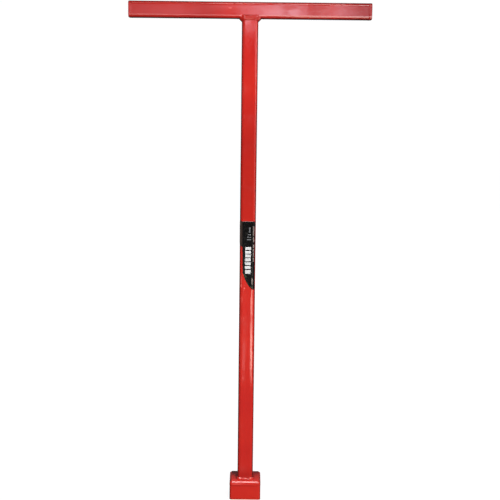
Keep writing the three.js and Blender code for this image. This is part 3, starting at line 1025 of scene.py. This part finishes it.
def red_enamel(name, weld=False):
    g = Graph(bpy.data.materials.new(name))
    deep = (0.50, 0.0175, 0.0150) if weld else (0.575, 0.0205, 0.0175)
    body = (0.635, 0.0235, 0.0175)
    warm = (0.690, 0.0330, 0.0190)
    dust = (0.72, 0.30, 0.27)
    # painted highlight colour of the pale glints
    painted_glint = (1.0, 0.24, 0.20) if weld else (0.98, 0.175, 0.145)
    thin_film = (0.30, 0.012, 0.010)
    steel = (0.115, 0.105, 0.100)
    # painted shade colour for glancing angles
    glancing = (0.10, 0.004, 0.003)
    base_rough = 0.11 if weld else 0.085
    peel_strength = 0.4 if weld else 0.28

    # colour: film thickness varies over centimetres, with a fine mottle
    broad = g.noise(scale=9.0, detail=3.0, rough=0.55)
    fine = g.noise(scale=140.0, offset=(3, 1, 2))
    colour = g.mix(g.remap(broad, (0.32, 0.68)), deep, warm)
    colour = g.mix(g.remap(fine, (0.30, 0.70), to=(0.0, 0.45)), colour, body)
    scaled = g.node("VectorMath", {0: colour, "Scale": g.attr("tone")}, operation="SCALE")
    # settled dust and handling haze in faint patches
    haze = g.noise(scale=22.0, detail=4.0, rough=0.6, offset=(7, 7, 7))
    haze = g.remap(haze, (0.52, 0.75), smooth=True)
    colour = g.mix(g.times(haze, 0.05), scaled.outputs[0], dust)
    # painted highlights: pale glints mixed into the colour
    colour = g.mix(painted_glint_mask(g, PAINTED_FOOT_GLINTS if weld else PAINTED_TUBE_GLINTS), colour, painted_glint)
    # edges: the film pulls thin, and dark steel shows through in specks
    edge = g.attr("edge")
    speck = g.noise(scale=520.0, detail=3.0, rough=0.6, offset=(2, 5, 1))
    rub = g.noise(scale=70.0, detail=3.0, rough=0.6, offset=(4, 2, 8))
    thin = g.times(g.remap(edge, (0.25, 1.1)), g.remap(rub, (0.46, 0.66), smooth=True))
    colour = g.mix(g.times(thin, 0.35), colour, thin_film)
    chips = g.times(g.remap(edge, (0.55, 1.5)), g.remap(speck, (0.58, 0.63), smooth=True))
    chips = g.times(chips, g.remap(rub, (0.50, 0.58), smooth=True))
    # the bore is only patchily covered
    patchy = g.noise(scale=45.0, detail=4.0, rough=0.62, offset=(9, 3, 6))
    thin_inside = g.times(g.attr("inside"), g.remap(patchy, (0.42, 0.62), smooth=True))
    bare = g.math("MAXIMUM", chips, g.times(thin_inside, 0.75))
    colour = g.mix(bare, colour, steel)
    # painted shade: at glancing angles the colour darkens towards a dark red, except where "keep" holds
    # its colour
    facing = g.node("LayerWeight", {"Blend": 0.5}).outputs["Facing"]
    painted_glancing_shade = g.times(g.remap(facing, (0.14, 0.60), smooth=True), 0.8)
    painted_glancing_shade = g.times(painted_glancing_shade, g.math("SUBTRACT", 1.0, g.attr("keep")))
    colour = g.mix(painted_glancing_shade, colour, glancing)

    # gloss: nearly wet, dulled by haze, fine rubs along the tube and bare steel
    rubs = g.noise(scale=60.0, stretch=(14, 14, 0.5), offset=(1, 8, 3))
    rough = g.math("ADD", base_rough, g.times(haze, 0.09))
    rough = g.math("ADD", rough, g.remap(rubs, (0.60, 0.74), to=(0.0, 0.10)))
    rough = g.math("ADD", rough, g.remap(fine, (0.3, 0.7), to=(0.0, 0.02)))
    rough = g.math("ADD", rough, g.times(bare, 0.34), clamp=True)

    # surface: slow sags, orange peel, a few dust nibs, sunken bare spots
    sag = g.noise(scale=38.0, stretch=(1, 1, 0.55), offset=(5, 1, 9))
    peel = g.noise(scale=520.0, detail=1.5, rough=0.45)
    cells = g.node("TexVoronoi", {"Vector": g.mapping(), "Scale": 190.0}).outputs["Distance"]
    nibs = g.remap(cells, (0.03, 0.11), to=(1.0, 0.0), smooth=True)
    normal = g.bump(sag, strength=0.40, distance=0.00035)
    normal = g.bump(peel, strength=peel_strength, distance=0.00006, over=normal)
    normal = g.bump(nibs, strength=0.35, distance=0.00006, over=normal)
    film = g.math("SUBTRACT", 1.0, bare)
    normal = g.bump(film, strength=0.6, distance=0.00008, over=normal)
    return g.finish(g.node("BsdfPrincipled", {
        "Base Color": colour,
        "Metallic": g.times(bare, 0.75),
        "Roughness": rough,
        "IOR": 1.5,
        "Coat Weight": 0.35,
        "Coat Roughness": 0.06,
        "Normal": normal,
        "Coat Normal": normal,
    }))


def vinyl(name, colour, rough, scuffing, flap=None, coat=0.25):
    """Label film or ink. flap is the colour of the part round the left corner: painted sheen, lighter
    and browner.
    """
    g = Graph(bpy.data.materials.new(name))
    mottle = g.noise(scale=60.0, detail=4.0, rough=0.6)
    scuff = g.noise(scale=240.0, detail=3.0, rough=0.6, stretch=(1, 1, 0.25), offset=(1, 4, 2))
    scuff = g.remap(scuff, (0.60, 0.72), smooth=True)
    dark = tuple(x * 0.82 for x in colour)
    scuffed = (0.35, 0.33, 0.32)
    c = g.mix(g.remap(mottle, (0.35, 0.65)), dark, colour)
    c = g.mix(g.times(scuff, scuffing), c, scuffed)
    if flap is not None:
        # painted sheen: the flap round the left corner is lighter and browner
        c = g.mix(g.attr("flap"), c, flap)
    ripples = g.noise(scale=160.0, offset=(2, 2, 6))
    grain = g.noise(scale=1400.0, detail=1.0)
    normal = g.bump(ripples, strength=0.35, distance=0.00010)
    normal = g.bump(grain, strength=0.2, distance=0.00002, over=normal)
    return g.finish(g.node("BsdfPrincipled", {
        "Base Color": c,
        "Roughness": g.math("ADD", rough, g.times(scuff, 0.16)),
        "IOR": 1.45,
        "Coat Weight": coat,
        "Coat Roughness": 0.08,
        "Normal": normal,
    }))


slot_materials = {
    "red_paint": red_enamel("red_enamel"),
    "red_paint_weld": red_enamel("red_enamel_weld", weld=True),
    "label_vinyl": vinyl(
        "label_vinyl", colour=(0.0065, 0.0062, 0.0062), rough=0.16, scuffing=0.03,
        # flap is painted sheen round the left corner
        flap=(0.120, 0.078, 0.064), coat=0.10,
    ),
}
ink_materials = [
    vinyl("label_ink_white", colour=(0.93, 0.93, 0.92), rough=0.22, scuffing=0.06),
    vinyl("label_ink_grey", colour=(0.20, 0.205, 0.215), rough=0.24, scuffing=0.08),
    vinyl("label_ink_pale", colour=(0.30, 0.240, 0.215), rough=0.24, scuffing=0.08),
    vinyl("label_ink_accent", colour=(0.060, 0.085, 0.045), rough=0.24, scuffing=0.08),
]

# --------------------------------------------------------------------------
# hand the pieces over to the frame
# --------------------------------------------------------------------------
record_slots = {s["node"]: s["material_slot"] for s in frame["record"]["subparts"]}
for node, ob in pieces.items():
    slot = record_slots[node]
    ob.data.materials.append(slot_materials[slot])
    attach(ob, "root")
    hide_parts(node)
for ob, mat in zip(inks, ink_materials):
    ob.data.materials.append(mat)
    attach(ob, "root")

# --------------------------------------------------------------------------
# stage: pale floor, near-white surroundings, a mirrored card
# --------------------------------------------------------------------------


def floor_material():
    """Grey to light and reflections, with a near-white glow that only the camera sees."""
    g = Graph(bpy.data.materials.new("stage_floor"))
    ray = g.node("LightPath").outputs
    tint = g.mix(ray["Is Glossy Ray"], (0.16, 0.16, 0.16), (0.07, 0.07, 0.07))
    diffuse = g.node("BsdfDiffuse", {"Color": tint})
    distance = g.node("VectorMath", {0: g.coord.outputs["Object"]}, operation="LENGTH")
    far = g.remap(distance.outputs["Value"], (0.35, 1.5), to=(0.93, 1.0), smooth=True)
    glow = g.node("Emission", {
        "Color": (1, 1, 1, 1), "Strength": g.times(ray["Is Camera Ray"], far),
    })
    return g.finish(g.node("AddShader", {0: diffuse.outputs[0], 1: glow.outputs[0]}))


def floor():
    """Disc just under the head, in rings."""
    segments = 64
    z = -0.0002
    radii = [0.25, 0.7, 2.0, 6.0, 14.0]
    verts = [(0, 0, z)]
    for r in radii:
        for i in range(segments):
            a = i / segments * 2 * math.pi
            verts.append((r * math.cos(a), r * math.sin(a), z))
    faces = [(0, 1 + i, 1 + (i + 1) % segments) for i in range(segments)]
    for k in range(len(radii) - 1):
        a, b = 1 + k * segments, 1 + (k + 1) * segments
        for i in range(segments):
            j = (i + 1) % segments
            faces.append((a + i, b + i, b + j, a + j))
    ob = make_object("stage_floor", verts, faces, solid=False)
    ob.data.materials.append(floor_material())


def studio_world():
    """White to the camera, and a dim sky to light and gloss that brightens overhead."""
    world = bpy.data.worlds.new("studio")
    bpy.context.scene.world = world
    g = Graph(world)
    height = g.xyz("Generated")["Z"]
    ray = g.node("LightPath").outputs

    def background(colour, strength=1.0):
        return g.node("Background", {"Color": colour, "Strength": strength}).outputs[0]

    def switch(fac, a, b):
        return g.node("MixShader", {0: fac, 1: a, 2: b})

    light_sky = background(g.remap(height, (0.0, 0.9), to=(0.14, 0.16)))
    gloss_sky = background(g.remap(height, (0.0, 0.9), to=(0.08, 0.14)))
    seen = background((1, 1, 1, 1), strength=1.02)
    unseen = switch(ray["Is Glossy Ray"], light_sky, gloss_sky)
    g.finish(switch(ray["Is Camera Ray"], unseen.outputs[0], seen))


# Brightness along the card's upper band, as (x, level)
CARD_LEVELS = (
    (-0.52, 0.70), (-0.36, 0.95), (-0.27, 1.40), (-0.235, 1.15), (-0.19, 0.45), (-0.10, 0.25),
    (-0.045, 0.40), (-0.025, 1.5), (0.010, 2.1), (0.045, 3.2), (0.075, 6.2), (0.100, 7.6),
    (0.125, 5.8), (0.150, 5.2), (0.180, 4.4), (0.200, 2.8), (0.220, 0.9), (0.250, 0.5),
    (0.285, 0.7), (0.310, 3.2), (0.340, 4.6), (0.375, 3.4), (0.410, 1.7), (0.430, 1.0),
    (0.52, 1.2), (0.60, 0.4),
)
CARD_PEAK = 8.0  # level that counts as full white in the ramp
CARD_HALF = 1.5
# Separate bright boxes: x from, to, z from, to, softness in x, in z, level
CARD_BOXES = (
    (-0.16, 0.04, 0.866, 0.885, 0.03, 0.008, 5.2),
    (0.70, 1.40, 0.66, 0.90, 0.03, 0.03, 1.4),
)


def card_material():
    g = Graph(bpy.data.materials.new("stage_card"))
    at = g.xyz()
    x, z = at["X"], at["Z"]
    ramp = g.node("ValToRGB", {"Fac": g.remap(x, (-CARD_HALF, CARD_HALF))})
    stops = ramp.color_ramp.elements
    while len(stops) < len(CARD_LEVELS):
        stops.new(0.5)
    for stop, (px, level) in zip(stops, CARD_LEVELS):
        stop.position = (px + CARD_HALF) / (2 * CARD_HALF)
        stop.color = (level / CARD_PEAK, level / CARD_PEAK, level / CARD_PEAK, 1)
    # the height of the card that the handle mirrors
    band = g.times(
        g.remap(z, (0.872, 0.888), smooth=True),
        g.remap(z, (1.00, 1.12), to=(1.0, 0.0), smooth=True),
    )
    total = g.times(g.times(ramp.outputs[0], CARD_PEAK), band)

    def window(src, low, high, soft):
        return g.times(
            g.remap(src, (low - soft, low + soft), smooth=True),
            g.remap(src, (high - soft, high + soft), to=(1.0, 0.0), smooth=True),
        )

    for x0, x1, z0, z1, soft_x, soft_z, level in CARD_BOXES:
        box = g.times(window(x, x0, x1, soft_x), window(z, z0, z1, soft_z))
        total = g.math("ADD", total, g.times(box, level))
    return g.finish(g.node("Emission", {"Color": (1.0, 0.97, 1.12, 1), "Strength": total}))


def reflector_card():
    """Studio card behind the lens. The paint mirrors it; the camera doesn't see it."""
    y, z0, z1 = -2.60, 0.02, 1.35
    verts = [(-CARD_HALF, y, z0), (CARD_HALF, y, z0), (CARD_HALF, y, z1), (-CARD_HALF, y, z1)]
    ob = make_object("stage_card", verts, [(3, 2, 1, 0)], solid=False)
    ob.data.materials.append(card_material())
    ob.visible_camera = False
    ob.visible_shadow = False


floor()
studio_world()
reflector_card()

# --------------------------------------------------------------------------
# lights
# --------------------------------------------------------------------------


def softbox(name, place, target, size, power, colour=(1, 1, 1), glossy=False, receivers=None):
    """Area light seen either by gloss alone or by all but gloss, and never by the camera.

    receivers limits it to some of the pieces."""
    data = bpy.data.lights.new(name, "AREA")
    data.shape = "RECTANGLE"
    data.size, data.size_y = size
    data.energy = power
    data.color = colour
    data.spread = math.pi
    ob = bpy.data.objects.new(name, data)
    root_col.objects.link(ob)
    ob.location = place
    aim = Vector(target) - Vector(place)
    ob.rotation_euler = aim.to_track_quat("-Z", "Y").to_euler()
    ob.visible_camera = False
    ob.visible_glossy = glossy
    ob.visible_diffuse = not glossy
    if receivers:
        col = bpy.data.collections.new(name + "_receivers")
        for piece in receivers:
            col.objects.link(pieces[piece])
        ob.light_linking.receiver_collection = col


def named(*prefixes):
    return [n for n in pieces if n.startswith(prefixes)]


MID = (0, 0, 0.40)
WARM = (1.0, 0.92, 0.78)

# name, place, target, size, watts
for row in (
    ("key", (1.0, -2.7, 1.0), (0, 0, 0.42), (0.9, 0.8), 78),
    ("back_right", (1.2, 2.0, 2.1), MID, (1.2, 1.0), 26),
    ("back_left", (-1.4, 1.9, 2.1), MID, (1.2, 1.0), 30),
):
    softbox(*row)

# panels that only the gloss sees; the same columns, then the colour if it isn't white
for row in (
    ("glint_key", (0.55, -2.2, 2.0), MID, (0.5, 0.5), 7),
    ("glint_top", (0.08, -1.50, 2.20), (0.08, 0, 0.78), (0.45, 0.42), 4.6),
    ("glint_top_wide", (0.0, -1.50, 2.20), (0, 0, 0.78), (1.1, 0.42), 2.2),
    ("glint_head", (0.0, -0.105, 0.62), (0.0, -0.105, 0.0), (0.10, 0.09), 0.34),
    ("glint_wall", (2.10, -1.55, 0.34), (0, 0, 0.34), (1.2, 0.56), 2.5),
    ("glint_wall_high", (2.10, -1.55, 0.80), (0, 0, 0.80), (1.2, 0.36), 4.0),
    ("glint_floor_near", (0.275, -0.88, 0.004), (0.275, -0.88, 1.0), (0.35, 0.39), 3.0, WARM),
    ("glint_floor_far", (0.31, -1.40, 0.004), (0.31, -1.40, 1.0), (0.38, 0.65), 3.8, WARM),
    ("glint_floor_faint", (0.045, -0.85, 0.004), (0.045, -0.85, 1.0), (0.05, 0.30), 0.05),
    ("glint_back", (0.3, 2.0, 2.9), MID, (1.2, 1.0), 7.5),
):
    softbox(*row, glossy=True)

# the head's top face and foot welds catch a little light from above
softbox(
    "fill_plate", place=(0.02, -0.60, 1.20), target=(0, 0, 0.03), size=(0.4, 0.4), power=3.8,
    receivers=named("foot_weld") + ["socket_top_plate"],
)
softbox(
    "glint_foot", place=(0.03, -0.42, 1.10), target=(0, 0, 0.03), size=(0.20, 0.16), power=4.2,
    glossy=True, receivers=named("foot_weld"),
)
softbox(
    "glint_tee", place=(0.10, -1.90, 1.95), target=(0, 0, 0.765), size=(0.5, 0.3), power=3.6,
    glossy=True, receivers=named("handle_weld"),
)
# low panels that show as a fine pale line on the rounding under the handle's front face
UNDER_Z0, UNDER_Z1 = -0.02, 0.80
for name, x0, x1, radiance in (
    ("glint_under_left", -0.60, -0.04, 3.2), ("glint_under_right", -0.04, 0.60, 7.0),
):
    width, height = x1 - x0, UNDER_Z1 - UNDER_Z0
    xc, zc = (x0 + x1) / 2, (UNDER_Z0 + UNDER_Z1) / 2
    softbox(
        name, place=(xc, -2.40, zc), target=(xc, 0, zc), size=(width, height),
        power=radiance * math.pi * (width * height), glossy=True,
        receivers=named("handle_", "end_cap_"),
    )

# --------------------------------------------------------------------------
# camera: in front, a little below the handle, tilted down
# --------------------------------------------------------------------------
CAMERA_PLACE = (0.0038, -1.642, Z_AXIS - 0.0964)
CAMERA_PITCH = math.radians(9.472)
CAMERA_ROLL = math.radians(0.66)

cam_data = bpy.data.cameras.new("camera")
cam_data.sensor_width = 36.0
cam_data.lens = 75.6792
cam = bpy.data.objects.new("camera", cam_data)
root_col.objects.link(cam)
tilt = Matrix.Rotation(math.radians(90) - CAMERA_PITCH, 4, "X")
roll = Matrix.Rotation(CAMERA_ROLL, 4, "Z")
cam.matrix_world = Matrix.Translation(CAMERA_PLACE) @ (tilt @ roll)
scene = bpy.context.scene
scene.camera = cam
scene.view_settings.view_transform = "Standard"
scene.view_settings.look = "None"
